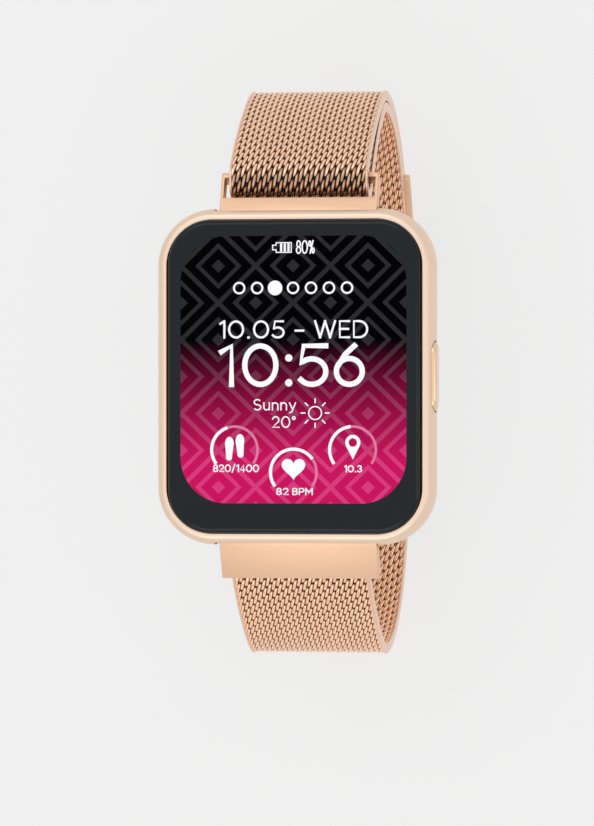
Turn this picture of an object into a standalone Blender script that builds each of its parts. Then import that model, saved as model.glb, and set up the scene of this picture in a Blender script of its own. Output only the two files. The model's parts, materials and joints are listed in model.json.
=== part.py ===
"""Rectangular smartwatch on a closed magnetic mesh strap, lying face up on the back of its strap.

+Z points out of the display glass, +Y to twelve o'clock and +X to the side button. Metres.
The origin is on the surface that the strap rests on, under the middle of the watch.
"""

import math

import bmesh
import bpy
from mathutils import Matrix, Vector

MM = 0.001

# Where the middle of the case stands, so that the origin is under the middle of the whole watch
CASE_X, CASE_Y = -0.15, -0.8

# Case
CASE_W, CASE_L, CASE_CORNER = 38.0, 45.6, 7.8
GLASS_TOP = 52.45
CASE_TOP, CASE_WIDEST, CASE_BOTTOM = 51.75, 48.8, 43.85
CASE_SIDE_ROUND = 1.2
GAP = 0.3

# Openings through the case
CAVITY_W, CAVITY_L, CAVITY_CORNER = 31.9, 39.9, 4.5
SEAT_FLOOR = 50.35
SEAL_STEP_W, SEAL_STEP_L, SEAL_STEP_TOP, SEAL_STEP_CORNER = 33.4, 41.4, 44.9, 5.2

# Glass and display
GLASS_W, GLASS_L, GLASS_CORNER, GLASS_THICK, GLASS_EDGE = 34.5, 42.5, 5.8, 1.3, 0.8
DISPLAY_W, DISPLAY_L, DISPLAY_CORNER = 31.3, 38.5, 4.2

# Back
BACK_W, BACK_L, BACK_CORNER, BACK_THICK, BACK_BOTTOM = 34.0, 41.8, 6.0, 0.5, 43.05
SENSOR_R, SENSOR_Y, SENSOR_DOME = 6.0, 2.0, 0.8
CONTACT_R, CONTACT_X, CONTACT_Y = 0.9, 2.0, -13.5

# Side button
BUTTON_LENGTH, BUTTON_HEIGHT, BUTTON_PROUD, BUTTON_THICK = 9.4, 3.4, 0.3, 0.9
BUTTON_Z, BUTTON_EDGE = 49.2, 0.45
STEM_Z, STEM_R = 48.3, 0.6

# Strap links and their spring bars
BAR_Y, BAR_Z = 22.3, 46.9
LINK_W, LINK_THICK, KNUCKLE_R = 21.6, 2.2, 1.35
RECESS_W, RECESS_R = 22.4, 1.8
UPPER_TILT, UPPER_LENGTH = math.radians(25), 5.55
LOWER_TILT, LOWER_LENGTH = math.radians(28), 5.2
WINDOW_START, RAIL_W, FAR_BAR = 1.75, 0.45, 0.75
BAR_TUBE_R, BAR_TUBE_BORE_R, BAR_TUBE_HALF = 0.7, 0.5, 9.8
PLUNGER_R, PLUNGER_IN, PLUNGER_OUT = 0.4, 7.0, 11.9
PIN_HOLE_R, PIN_HOLE_DEPTH = 0.6, 1.2

# Mesh strap: one band, as the line along the middle of its thickness
BAND_W, BAND_THICK = 19.0, 1.3
LOOP_Z, LOOP_DEPTH = 26.95, 26.3
LOOP_LOW_Y, LOOP_HIGH_Y = -37.95, 38.0
REST_LOW_Y, REST_HIGH_Y = -9.0, 5.0
LAYER_STEP = BAND_THICK + GAP
FOLD_R, FOLD_S = 2.15, 4.95

# Magnetic tab on the free end
TAB_W, TAB_PLATE, TAB_TOP_Y, TAB_END_Y = 20.4, 0.6, 28.2, 17.0
MAGNET_W, MAGNET_LENGTH, MAGNET_THICK, MAGNET_COUNT = 17.0, 1.8, 0.55, 4

# Vibration motor
MOTOR_X, MOTOR_Y, MOTOR_R = -10.0, -14.2, 4.0


def clear_scene():
    for obj in list(bpy.data.objects):
        bpy.data.objects.remove(obj, do_unlink=True)


clear_scene()
watch = bpy.data.collections.new("smartwatch")
cutters = bpy.data.collections.new("cutters")
bpy.context.scene.collection.children.link(watch)
bpy.context.scene.collection.children.link(cutters)

centre = bpy.data.objects.new("watch_centre", None)
centre.location = (CASE_X * MM, CASE_Y * MM, 0)
watch.objects.link(centre)

MATERIALS = {
    "rose_gold_case": ((0.85, 0.62, 0.52), 0.3, 1.0),
    "rose_gold_steel": ((0.80, 0.47, 0.34), 0.3, 1.0),
    "rose_gold_mesh": ((0.78, 0.44, 0.31), 0.3, 1.0),
    "cover_glass": ((0.03, 0.03, 0.035), 0.05, 0.0),
    "display": ((0.3, 0.02, 0.1), 0.3, 0.0),
    "black_plastic": ((0.02, 0.02, 0.022), 0.5, 0.0),
    "adhesive": ((0.03, 0.03, 0.03), 0.7, 0.0),
    "flex_film": ((0.5, 0.25, 0.05), 0.5, 0.0),
    "circuit_board": ((0.02, 0.12, 0.06), 0.5, 0.0),
    "tinned_steel": ((0.6, 0.6, 0.6), 0.3, 1.0),
    "battery_foil": ((0.5, 0.5, 0.52), 0.35, 0.6),
    "silicone": ((0.05, 0.05, 0.05), 0.8, 0.0),
    "sensor_lens": ((0.02, 0.02, 0.03), 0.1, 0.0),
    "led_lens": ((0.3, 0.8, 0.35), 0.3, 0.0),
    "gold_contact": ((0.85, 0.6, 0.2), 0.25, 1.0),
    "steel": ((0.6, 0.6, 0.6), 0.3, 1.0),
    "magnet": ((0.35, 0.35, 0.36), 0.35, 1.0),
    "tungsten": ((0.3, 0.3, 0.32), 0.4, 1.0),
}


def material(name):
    """The Principled material of this name, made once."""
    if name in bpy.data.materials:
        return bpy.data.materials[name]
    colour, roughness, metallic = MATERIALS[name]
    made = bpy.data.materials.new(name)
    made.use_nodes = True
    shader = made.node_tree.nodes["Principled BSDF"]
    shader.inputs["Base Color"].default_value = (*colour, 1)
    shader.inputs["Roughness"].default_value = roughness
    shader.inputs["Metallic"].default_value = metallic
    made.diffuse_color = (*colour, 1)
    return made


def add_part(name, bm, look, origin=(0, 0, 0)):
    """A node of the watch from a bmesh in millimetres, with its origin where its joint turns or slides."""
    place = Vector(origin)
    bmesh.ops.translate(bm, verts=bm.verts, vec=-place)
    bmesh.ops.scale(bm, verts=bm.verts, vec=(MM, MM, MM))
    bmesh.ops.recalc_face_normals(bm, faces=bm.faces)
    mesh = bpy.data.meshes.new(name)
    bm.to_mesh(mesh)
    bm.free()
    mesh.shade_smooth()
    mesh.set_sharp_from_angle(angle=math.radians(35))
    mesh.materials.append(material(look))
    obj = bpy.data.objects.new(name, mesh)
    obj.location = place * MM
    obj.parent = centre
    watch.objects.link(obj)
    return obj


def cut(obj, bm):
    """Takes the shape of a bmesh in millimetres out of an object."""
    bmesh.ops.scale(bm, verts=bm.verts, vec=(MM, MM, MM))
    bmesh.ops.recalc_face_normals(bm, faces=bm.faces)
    mesh = bpy.data.meshes.new(obj.name + "_cutter")
    bm.to_mesh(mesh)
    bm.free()
    cutter = bpy.data.objects.new(mesh.name, mesh)
    cutter.parent = centre
    cutter.hide_render = True
    cutter.display_type = "WIRE"
    cutters.objects.link(cutter)
    boolean = obj.modifiers.new("cut", "BOOLEAN")
    boolean.operation = "DIFFERENCE"
    boolean.solver = "EXACT"
    boolean.object = cutter


def block(width, length, low, high, corner=0.0, rim=0.0, x=0.0, y=0.0, segments=7):
    """An upright block with round corners and, with a rim, round edges at its top and bottom."""
    bm = bmesh.new()
    bmesh.ops.create_cube(bm, size=1.0)
    bmesh.ops.scale(bm, verts=bm.verts, vec=(width, length, high - low))
    if corner:
        upright = [e for e in bm.edges if abs(e.verts[0].co.z - e.verts[1].co.z) > 1e-6]
        bmesh.ops.bevel(bm, geom=upright, offset=corner, affect="EDGES", segments=segments, profile=0.5)
    if rim:
        level = [e for e in bm.edges if abs(e.verts[0].co.z - e.verts[1].co.z) < 1e-6]
        bmesh.ops.bevel(bm, geom=level, offset=rim, affect="EDGES", segments=4, profile=0.5)
    bmesh.ops.translate(bm, verts=bm.verts, vec=(x, y, (low + high) / 2))
    return bm


def rod(radius, start, end, sides=20):
    """A round bar between two points."""
    start, end = Vector(start), Vector(end)
    along = end - start
    turn = along.to_track_quat("Z", "Y").to_matrix().to_4x4()
    bm = bmesh.new()
    bmesh.ops.create_cone(bm, cap_ends=True, segments=sides, radius1=radius, radius2=radius,
                          depth=along.length, matrix=Matrix.Translation((start + end) / 2) @ turn)
    return bm


def turned(profile, x, y, sides):
    """A shape turned about an upright axis from its outline of (radius, height) points."""
    bm = bmesh.new()
    verts = [bm.verts.new((r, 0, z)) for r, z in profile]
    edges = [bm.edges.new(pair) for pair in zip(verts, verts[1:])]
    bmesh.ops.spin(bm, geom=verts + edges, angle=math.tau, steps=sides, axis=(0, 0, 1), cent=(0, 0, 0),
                   use_merge=True)
    bmesh.ops.remove_doubles(bm, verts=bm.verts, dist=1e-4)
    bmesh.ops.translate(bm, verts=bm.verts, vec=(x, y, 0))
    return bm


def extruded(outline, width):
    """A bar across the watch, from its side outline of (y, z) points."""
    bm = bmesh.new()
    face = bm.faces.new([bm.verts.new((-width / 2, y, z)) for y, z in outline])
    made = bmesh.ops.extrude_face_region(bm, geom=[face])
    moved = [v for v in made["geom"] if isinstance(v, bmesh.types.BMVert)]
    bmesh.ops.translate(bm, verts=moved, vec=(width, 0, 0))
    return bm


# ---- case -------------------------------------------------------------------------------------


def mid_case():
    """The machined frame: pillow sides, glass seat, recesses for the links, pin holes, button pocket."""
    bm = block(CASE_W, CASE_L, -CASE_SIDE_ROUND - 0.01, CASE_SIDE_ROUND + 0.01, CASE_CORNER, CASE_SIDE_ROUND)
    for vert in bm.verts:
        reach = CASE_TOP - CASE_WIDEST if vert.co.z > 0 else CASE_WIDEST - CASE_BOTTOM
        vert.co.z = CASE_WIDEST + vert.co.z * reach / (CASE_SIDE_ROUND + 0.01)
    case = add_part("mid_case", bm, "rose_gold_case")
    cut(case, block(CAVITY_W, CAVITY_L, CASE_BOTTOM - 1, GLASS_TOP + 1, CAVITY_CORNER))
    cut(case, block(GLASS_W + 2 * GAP, GLASS_L + 2 * GAP, SEAT_FLOOR, GLASS_TOP + 1, GLASS_CORNER + GAP))
    cut(case, block(SEAL_STEP_W, SEAL_STEP_L, CASE_BOTTOM - 1, SEAL_STEP_TOP, SEAL_STEP_CORNER))
    for side in (-1, 1):
        y, out = side * BAR_Y, side * (CASE_L / 2 + 1)
        cut(case, rod(RECESS_R, (-RECESS_W / 2, y, BAR_Z), (RECESS_W / 2, y, BAR_Z), 28))
        cut(case, block(RECESS_W, abs(out - y), BAR_Z - RECESS_R, BAR_Z + RECESS_R, y=(y + out) / 2))
        cut(case, block(RECESS_W, 1, BAR_Z, CASE_TOP + 1, y=side * (CASE_L / 2 + 0.2)))
        reach = RECESS_W / 2 + PIN_HOLE_DEPTH
        cut(case, rod(PIN_HOLE_R, (-reach, y, BAR_Z), (reach, y, BAR_Z), 12))
    floor = CASE_W / 2 + BUTTON_PROUD - BUTTON_THICK - GAP
    cut(case, button_oval(BUTTON_LENGTH + 2 * GAP, BUTTON_HEIGHT + 2 * GAP, floor, CASE_W / 2 + 1))
    cut(case, rod(STEM_R + GAP, (CAVITY_W / 2 - 1, 0, STEM_Z), (CASE_W / 2, 0, STEM_Z), 16))


def button_oval(length, height, inner, outer):
    """A slot-shaped block whose length lies along the case side."""
    bm = bmesh.new()
    bmesh.ops.create_cube(bm, size=1.0)
    bmesh.ops.scale(bm, verts=bm.verts, vec=(outer - inner, length, height))
    across = [e for e in bm.edges if abs(e.verts[0].co.x - e.verts[1].co.x) > 1e-6]
    bmesh.ops.bevel(bm, geom=across, offset=height / 2 * 0.98, affect="EDGES", segments=5, profile=0.5)
    bmesh.ops.translate(bm, verts=bm.verts, vec=((inner + outer) / 2, 0, BUTTON_Z))
    return bm


def glass_and_display():
    """Cover glass with rounded front edges, its adhesive frame, the display panel and its flex."""
    low = GLASS_TOP - GLASS_THICK
    bm = block(GLASS_W, GLASS_L, low, GLASS_TOP, GLASS_CORNER, segments=8)
    front = [e for e in bm.edges if all(v.co.z > GLASS_TOP - 1e-4 for v in e.verts)]
    bmesh.ops.bevel(bm, geom=front, offset=GLASS_EDGE, affect="EDGES", segments=4, profile=0.5)
    add_part("cover_glass", bm, "cover_glass")
    frame = add_part("glass_adhesive", block(34.3, 42.3, low - 0.5, low - GAP, 5.7), "adhesive")
    cut(frame, block(32.3, 40.3, low - 1, low, 4.9))
    panel = block(DISPLAY_W, DISPLAY_L, low - 1.3, low - GAP, DISPLAY_CORNER)
    add_part("display_panel", panel, "display")
    add_part("display_flex", block(12, 7, low - 1.85, low - 1.6, 1.0, y=-12), "flex_film")


def back():
    """Plastic back cover on its seal, with the heart sensor window and two charging contacts."""
    plate = block(BACK_W, BACK_L, BACK_BOTTOM, BACK_BOTTOM + BACK_THICK, BACK_CORNER)
    cover = add_part("back_cover", plate, "black_plastic")
    spigot = block(31.2, 39.2, BACK_BOTTOM + 0.2, 44.4, 4.2)
    join(cover, spigot)
    cut(cover, block(28.0, 36.0, 43.85, 45, 3.0))
    cut(cover, rod(SENSOR_R + GAP, (0, SENSOR_Y, 42), (0, SENSOR_Y, 45), 32))
    for side in (-1, 1):
        x = side * CONTACT_X
        cut(cover, rod(CONTACT_R + GAP, (x, CONTACT_Y, 42), (x, CONTACT_Y, 45), 16))
        pin = rod(CONTACT_R, (x, CONTACT_Y, BACK_BOTTOM - 0.1), (x, CONTACT_Y, 44.6), 16)
        add_part("charging_contact_" + ("left", "", "right")[side + 1], pin, "gold_contact")
    seal = add_part("back_seal", block(33.0, 41.0, 43.95, 44.55, 5.0), "silicone")
    cut(seal, block(31.9, 39.9, 43, 45, 4.5))
    rim = BACK_BOTTOM - 0.1
    profile = [(0, 43.8), (SENSOR_R, 43.8), (SENSOR_R, rim)]
    for degrees in (60, 35, 12):
        slope = math.radians(degrees)
        profile.append((SENSOR_R * math.sin(slope), rim - SENSOR_DOME * math.cos(slope)))
    profile.append((0, rim - SENSOR_DOME))
    add_part("sensor_window", turned(profile, 0, SENSOR_Y, 32), "sensor_lens")


def join(obj, bm):
    """Adds the shape of a bmesh in millimetres to an object."""
    cut(obj, bm)
    obj.modifiers[-1].name = "join"
    obj.modifiers[-1].operation = "UNION"


def electronics():
    """What is inside: sensor board with its light pieces, battery, main board, carrier and shields."""
    add_part("sensor_board", block(11, 10, 44.75, 45.1, 1.0, y=SENSOR_Y), "circuit_board")
    for number, y in enumerate((SENSOR_Y - 3, SENSOR_Y + 3), 1):
        add_part(f"sensor_led_{number}", block(1.6, 1.2, 44.1, 44.45, y=y), "led_lens")
    add_part("photodiode", block(2.6, 2.6, 44.1, 44.45, y=SENSOR_Y), "black_plastic")
    add_part("battery", block(21, 19, 45.4, 47.3, 1.5, 0.5, y=3.5), "battery_foil")
    board = add_part("main_board", block(30.6, 38.4, 47.6, 48.2, 3.9), "circuit_board")
    add_part("processor_shield", block(13, 7.5, 46.1, 47.3, 0.4, x=4.5, y=-13.5), "tinned_steel")
    add_part("radio_module", block(9, 4.0, 46.3, 47.3, 0.3, x=-7, y=16.2), "tinned_steel")
    add_part("motion_sensor", block(2.5, 2.5, 46.6, 47.3, x=8, y=16.2), "black_plastic")
    carrier = add_part("display_carrier", block(31.2, 39.2, 48.5, 49.0, 4.2), "black_plastic")
    cut(carrier, block(16, 9, 48, 50, 1.0, y=-12))
    cut(carrier, block(22, 16, 48, 50, 1.0, y=6))
    for sheet in (board, carrier):
        cut(sheet, block(6, 6, 47, 50, x=15))


def vibration_motor():
    """A coin motor: a can with a fixed pin, open towards the back, and an off-centre weight on the pin."""
    wall, pin, low, high = 0.25, 0.35, 44.7, 47.2
    profile = [(0.0, high), (MOTOR_R, high), (MOTOR_R, low), (MOTOR_R - wall, low),
               (MOTOR_R - wall, high - wall), (pin, high - wall), (pin, low + 0.3), (0.0, low + 0.3)]
    can = turned(profile, MOTOR_X, MOTOR_Y, 24)
    add_part("motor_can", can, "tinned_steel")
    place = (MOTOR_X, MOTOR_Y, 0)
    weight = add_part("motor_weight", rod(3.2, (MOTOR_X, MOTOR_Y, 45.3), (MOTOR_X, MOTOR_Y, 46.6), 28),
                      "tungsten", place)
    cut(weight, rod(0.65, (MOTOR_X, MOTOR_Y, 45), (MOTOR_X, MOTOR_Y, 47), 16))
    cut(weight, block(8, 4, 45, 47, x=MOTOR_X, y=MOTOR_Y - 3.3))


def side_button():
    """Oval cap with its stem, the ring that keeps the stem in, the stem's seal and the switch behind."""
    outer = CASE_W / 2 + BUTTON_PROUD
    inner = outer - BUTTON_THICK
    bm = button_oval(BUTTON_LENGTH, BUTTON_HEIGHT, inner, outer)
    face = [e for e in bm.edges if all(v.co.x > outer - 1e-4 for v in e.verts)]
    bmesh.ops.bevel(bm, geom=face, offset=BUTTON_EDGE, affect="EDGES", segments=4, profile=0.5)
    button = add_part("side_button", bm, "rose_gold_steel", (0, 0, STEM_Z))
    join(button, rod(STEM_R, (15.0, 0, STEM_Z), (inner + 0.4, 0, STEM_Z), 16))
    for name, x, radius, bore, look in (("button_clip", 15.25, 1.3, 0.9, "steel"),
                                        ("button_seal", 16.75, 0.82, 0.68, "silicone")):
        ring = add_part(name, rod(radius, (x, 0, STEM_Z), (x + 0.4, 0, STEM_Z), 16), look)
        cut(ring, rod(bore, (x - 1, 0, STEM_Z), (x + 1, 0, STEM_Z), 16))
    switch = block(2.0, 4.0, STEM_Z - 1, STEM_Z + 1, x=13.4)
    add_part("button_switch", switch, "black_plastic")


# ---- strap links ------------------------------------------------------------------------------


class LinkFrame:
    """Places along a link: s runs out from the knuckle along its face, t is the depth below the face."""

    def __init__(self, side, tilt):
        self.along = Vector((side * math.cos(tilt), -math.sin(tilt)))
        self.out = Vector((side * math.sin(tilt), math.cos(tilt)))
        self.pivot = Vector((side * BAR_Y, BAR_Z))

    def at(self, s, t):
        return self.pivot + self.along * s + self.out * (KNUCKLE_R - t)


UPPER = LinkFrame(1, UPPER_TILT)
LOWER = LinkFrame(-1, LOWER_TILT)


def link_outline(frame, length):
    """The side outline: a round knuckle about the spring bar, running out into a plate."""
    first = math.atan2(frame.out.y, frame.out.x)
    side = 1 if frame.along.x > 0 else -1
    points = []
    for step in range(13):
        angle = first + side * math.pi * step / 12
        points.append(frame.pivot + Vector((math.cos(angle), math.sin(angle))) * KNUCKLE_R)
    points += [frame.at(0.9, LINK_THICK), frame.at(length, LINK_THICK), frame.at(length, 0)]
    return points


def upper_link():
    """The slotted link: near bar, two thin rails and a flat far bar that the mesh folds over."""
    origin = (0, BAR_Y, BAR_Z)
    outline = link_outline(UPPER, UPPER_LENGTH)
    link = add_part("upper_link", extruded(outline, LINK_W), "rose_gold_steel", origin)
    window = [UPPER.at(s, t) for s, t in ((WINDOW_START, -1), (UPPER_LENGTH - FAR_BAR, -1),
                                          (UPPER_LENGTH - FAR_BAR, 4), (WINDOW_START, 4))]
    cut(link, extruded(window, LINK_W - 2 * RAIL_W))
    cut(link, rod(BAR_TUBE_R + 0.1, (-LINK_W, BAR_Y, BAR_Z), (LINK_W, BAR_Y, BAR_Z), 20))


def lower_link():
    """The plain link, whose outer end holds the fixed end of the mesh."""
    link = add_part("lower_link", extruded(link_outline(LOWER, LOWER_LENGTH), LINK_W), "rose_gold_steel",
                    (0, -BAR_Y, BAR_Z))
    cut(link, rod(BAR_TUBE_R + 0.1, (-LINK_W, -BAR_Y, BAR_Z), (LINK_W, -BAR_Y, BAR_Z), 20))


def spring_bar(word, y):
    """A tube with a coil spring inside that pushes a plunger out of each end into the case."""
    pipe = rod(BAR_TUBE_R, (-BAR_TUBE_HALF, y, BAR_Z), (BAR_TUBE_HALF, y, BAR_Z))
    tube = add_part(f"{word}_bar_tube", pipe, "steel")
    cut(tube, rod(BAR_TUBE_BORE_R, (-LINK_W, y, BAR_Z), (LINK_W, y, BAR_Z), 16))
    for side, end in ((-1, "left"), (1, "right")):
        pin = rod(PLUNGER_R, (side * PLUNGER_IN, y, BAR_Z), (side * PLUNGER_OUT, y, BAR_Z), 12)
        add_part(f"{word}_plunger_{end}", pin, "steel", (side * PLUNGER_IN, y, BAR_Z))
    coil(f"{word}_bar_spring", y)


def coil(name, y, turns=9, steps=8, wire=0.09, radius=0.33):
    """A coil spring along the bar, as a swept wire."""
    half = PLUNGER_IN - 0.15
    curve = bpy.data.curves.new(name, "CURVE")
    curve.dimensions = "3D"
    curve.bevel_depth = wire * MM
    curve.bevel_resolution = 0
    curve.use_fill_caps = True
    spline = curve.splines.new("POLY")
    count = turns * steps
    spline.points.add(count)
    for index in range(count + 1):
        angle = math.tau * index / steps
        x = -half + 2 * half * index / count
        place = (x * MM, radius * math.cos(angle) * MM, radius * math.sin(angle) * MM, 1)
        spline.points[index].co = place
    curve.materials.append(material("steel"))
    obj = bpy.data.objects.new(name, curve)
    obj.location = (0, y * MM, BAR_Z * MM)
    obj.parent = centre
    watch.objects.link(obj)


# ---- mesh strap -------------------------------------------------------------------------------


def bend(start, start_way, end, end_way, pull_start, pull_end, steps):
    """Points on a smooth curve that leaves and arrives in the two given directions."""
    a, d = Vector(start), Vector(end)
    b, c = a + Vector(start_way) * pull_start, d - Vector(end_way) * pull_end
    points = []
    for step in range(steps + 1):
        t = step / steps
        points.append(a * (1 - t) ** 3 + b * 3 * t * (1 - t) ** 2 + c * 3 * t * t * (1 - t) + d * t ** 3)
    return points


def back_quarter(side, offset, steps, last=90):
    """Quarter ellipse from the side of the loop down to where it rests, pushed outward by an offset."""
    foot = REST_HIGH_Y if side > 0 else REST_LOW_Y
    reach = abs((LOOP_HIGH_Y if side > 0 else LOOP_LOW_Y) - foot)
    points = []
    for step in range(steps + 1):
        angle = math.radians(last * step / steps)
        out = Vector((math.cos(angle) / reach, -math.sin(angle) / LOOP_DEPTH)).normalized()
        y = reach * math.cos(angle) + out.x * offset
        z = LOOP_Z - LOOP_DEPTH * math.sin(angle) + out.y * offset
        points.append(Vector((foot + side * y, z)))
    return points


def angle_at(y):
    """Where along the back quarter, in degrees, the middle of the inner layer stands at this y."""
    return math.degrees(math.acos((y - REST_HIGH_Y) / (LOOP_HIGH_Y - REST_HIGH_Y)))


def strip(name, path, width, thickness, look, origin=(0, 0, 0)):
    """A flat band swept along a path of (y, z) points that run down its middle."""
    place = Vector(origin)
    bm = bmesh.new()
    verts = [bm.verts.new((-width / 2, p[0], p[1])) for p in path]
    edges = [bm.edges.new(pair) for pair in zip(verts, verts[1:])]
    made = bmesh.ops.extrude_edge_only(bm, edges=edges)
    moved = [v for v in made["geom"] if isinstance(v, bmesh.types.BMVert)]
    bmesh.ops.translate(bm, verts=moved, vec=(width, 0, 0))
    obj = add_part(name, bm, look, place)
    shell = obj.modifiers.new("thickness", "SOLIDIFY")
    shell.thickness = thickness * MM
    shell.offset = 0
    shell.use_even_offset = True
    return obj


def shortened(path, start, end):
    """The path with a length taken off each end, so that neighbours keep a gap."""
    first = (path[1] - path[0]).normalized() * start
    last = (path[-2] - path[-1]).normalized() * end
    return [path[0] + first] + path[1:-1] + [path[-1] + last]


def mesh_band():
    """The band from the lower link round the wrist, through the upper link and back over itself."""
    up = Vector((0, 1))
    down = Vector((0, -1))
    clear = 0.2
    end = LOWER.at(LOWER_LENGTH, LINK_THICK / 2)
    run = bend((LOOP_LOW_Y, LOOP_Z), up, end, -LOWER.along, 5, 2.5, 14)
    strip("band_lower_run", shortened(run, clear, GAP), BAND_W, BAND_THICK, "rose_gold_mesh")
    around = back_quarter(-1, 0, 12) + back_quarter(1, 0, 12)[::-1]
    strip("band_back_run", shortened(around, clear, clear), BAND_W, BAND_THICK, "rose_gold_mesh")
    fold_middle = UPPER.at(FOLD_S, LINK_THICK / 2)
    below, above = fold_middle - UPPER.out * FOLD_R, fold_middle + UPPER.out * FOLD_R
    inner = bend((LOOP_HIGH_Y, LOOP_Z), up, below, -UPPER.along, 5, 2.5, 14)
    strip("band_inner_run", shortened(inner, clear, clear), BAND_W, BAND_THICK, "rose_gold_mesh")
    fold = []
    for step in range(9):
        angle = math.pi * step / 8
        arm = UPPER.out * math.cos(angle) + UPPER.along * math.sin(angle)
        fold.append(fold_middle - arm * FOLD_R)
    strip("band_fold", shortened(fold, clear, clear), BAND_W, BAND_THICK, "rose_gold_mesh", (0, BAR_Y, BAR_Z))
    side = Vector((LOOP_HIGH_Y + LAYER_STEP, LOOP_Z))
    outer = bend(above, UPPER.along, side, down, 3, 5, 14)
    strip("band_outer_run", shortened(outer, clear, clear), BAND_W, BAND_THICK, "rose_gold_mesh")
    free = back_quarter(1, LAYER_STEP, 8, angle_at(TAB_TOP_Y))
    strip("band_free_end", shortened(free, clear, clear), BAND_W, BAND_THICK, "rose_gold_mesh", (0, *side))
    magnetic_tab((0, *side))


def magnetic_tab(hinge):
    """The plate on the free end, with bar magnets behind it that cling to the band."""
    start, end = angle_at(TAB_TOP_Y), angle_at(TAB_END_Y)
    lift = BAND_THICK / 2 + GAP + MAGNET_THICK + GAP + TAB_PLATE / 2
    plate = back_quarter(1, lift, 40, 90)
    plate = [p for index, p in enumerate(plate) if start <= 90 * index / 40 <= end]
    strip("tab_plate", plate, TAB_W, TAB_PLATE, "rose_gold_steel", hinge)
    for number in range(MAGNET_COUNT):
        middle = start + (end - start) * (number + 0.62) / (MAGNET_COUNT + 0.2)
        path = back_quarter(1, BAND_THICK / 2 + GAP + MAGNET_THICK / 2, 360, 90)
        centre_point = path[round(middle * 4)]
        way = (path[round(middle * 4) + 1] - centre_point).normalized()
        bar = [centre_point - way * MAGNET_LENGTH / 2, centre_point + way * MAGNET_LENGTH / 2]
        strip(f"tab_magnet_{number + 1}", bar, MAGNET_W, MAGNET_THICK, "magnet", hinge)


mid_case()
glass_and_display()
back()
electronics()
vibration_motor()
side_button()
upper_link()
lower_link()
spring_bar("upper", BAR_Y)
spring_bar("lower", -BAR_Y)
mesh_band()
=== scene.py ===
import json
import math

import bmesh
import bpy
from mathutils import Matrix, Vector
from mathutils.kdtree import KDTree


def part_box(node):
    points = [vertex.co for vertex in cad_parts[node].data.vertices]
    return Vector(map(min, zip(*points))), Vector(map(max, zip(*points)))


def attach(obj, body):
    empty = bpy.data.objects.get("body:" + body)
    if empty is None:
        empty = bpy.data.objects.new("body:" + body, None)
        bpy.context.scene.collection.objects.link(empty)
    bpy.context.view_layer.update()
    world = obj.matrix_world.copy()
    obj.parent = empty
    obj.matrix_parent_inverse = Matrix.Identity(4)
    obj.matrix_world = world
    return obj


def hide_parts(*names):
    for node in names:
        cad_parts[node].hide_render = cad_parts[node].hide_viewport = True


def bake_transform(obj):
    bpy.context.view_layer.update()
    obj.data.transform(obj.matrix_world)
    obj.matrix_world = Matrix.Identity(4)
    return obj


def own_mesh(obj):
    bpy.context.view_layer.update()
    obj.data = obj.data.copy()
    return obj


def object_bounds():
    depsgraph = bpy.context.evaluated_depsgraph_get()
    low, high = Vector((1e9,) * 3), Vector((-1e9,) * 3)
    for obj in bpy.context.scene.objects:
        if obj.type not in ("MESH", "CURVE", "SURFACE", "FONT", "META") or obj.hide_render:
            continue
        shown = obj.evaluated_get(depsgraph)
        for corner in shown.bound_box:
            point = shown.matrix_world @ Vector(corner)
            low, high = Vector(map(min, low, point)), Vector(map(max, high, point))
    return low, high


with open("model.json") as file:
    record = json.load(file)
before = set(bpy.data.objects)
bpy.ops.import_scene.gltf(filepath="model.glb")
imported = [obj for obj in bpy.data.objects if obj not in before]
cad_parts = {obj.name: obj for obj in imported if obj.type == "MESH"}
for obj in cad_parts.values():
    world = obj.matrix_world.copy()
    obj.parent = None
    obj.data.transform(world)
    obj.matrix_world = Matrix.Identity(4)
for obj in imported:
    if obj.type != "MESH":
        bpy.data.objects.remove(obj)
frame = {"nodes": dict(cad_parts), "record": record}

CAD_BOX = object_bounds()


# ---- Case frame ---------------------------------------------------------------------------------
# One machined aluminium ring with pillow sides, anodised a pale rose gold and blasted to a satin.
# A narrow polished chamfer runs round the glass. The strap links sit in a recess at each end, and
# the side button in an oval pocket.


def box_mm(node):
    """Lowest and highest corner of a node in millimetres."""
    low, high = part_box(node)
    return Vector(low) * 1000, Vector(high) * 1000


def block(width, length, low, high, corner=0.0, segments=16, x=0.0, y=0.0):
    """An upright block with rounded upright edges, in millimetres."""
    bm = bmesh.new()
    bmesh.ops.create_cube(bm, size=1.0)
    bmesh.ops.scale(bm, verts=bm.verts, vec=(width, length, high - low))
    if corner:
        upright = [e for e in bm.edges if abs(e.verts[0].co.z - e.verts[1].co.z) > 1e-6]
        bmesh.ops.bevel(bm, geom=upright, offset=corner, affect="EDGES", segments=segments,
                        profile=0.5, material=-1)
    bmesh.ops.translate(bm, verts=bm.verts, vec=(x, y, (low + high) / 2))
    return bm


def bar(radius, start, end, sides=32):
    """A round bar between two points, in millimetres."""
    start, end = Vector(start), Vector(end)
    along = end - start
    turn = along.to_track_quat("Z", "Y").to_matrix().to_4x4()
    bm = bmesh.new()
    bmesh.ops.create_cone(bm, cap_ends=True, segments=sides, radius1=radius, radius2=radius,
                          depth=along.length, matrix=Matrix.Translation((start + end) / 2) @ turn)
    return bm


def soften(bm, edges, offset, segments=3):
    """Rounds the given edges."""
    bmesh.ops.bevel(bm, geom=list(edges), offset=offset, affect="EDGES", segments=segments,
                    profile=0.5, material=-1)


def raw_object(name, bm):
    """A bare object from a bmesh in millimetres."""
    mesh = bpy.data.meshes.new(name)
    bm.to_mesh(mesh)
    bm.free()
    obj = bpy.data.objects.new(name, mesh)
    bpy.context.scene.collection.objects.link(obj)
    return obj


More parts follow.
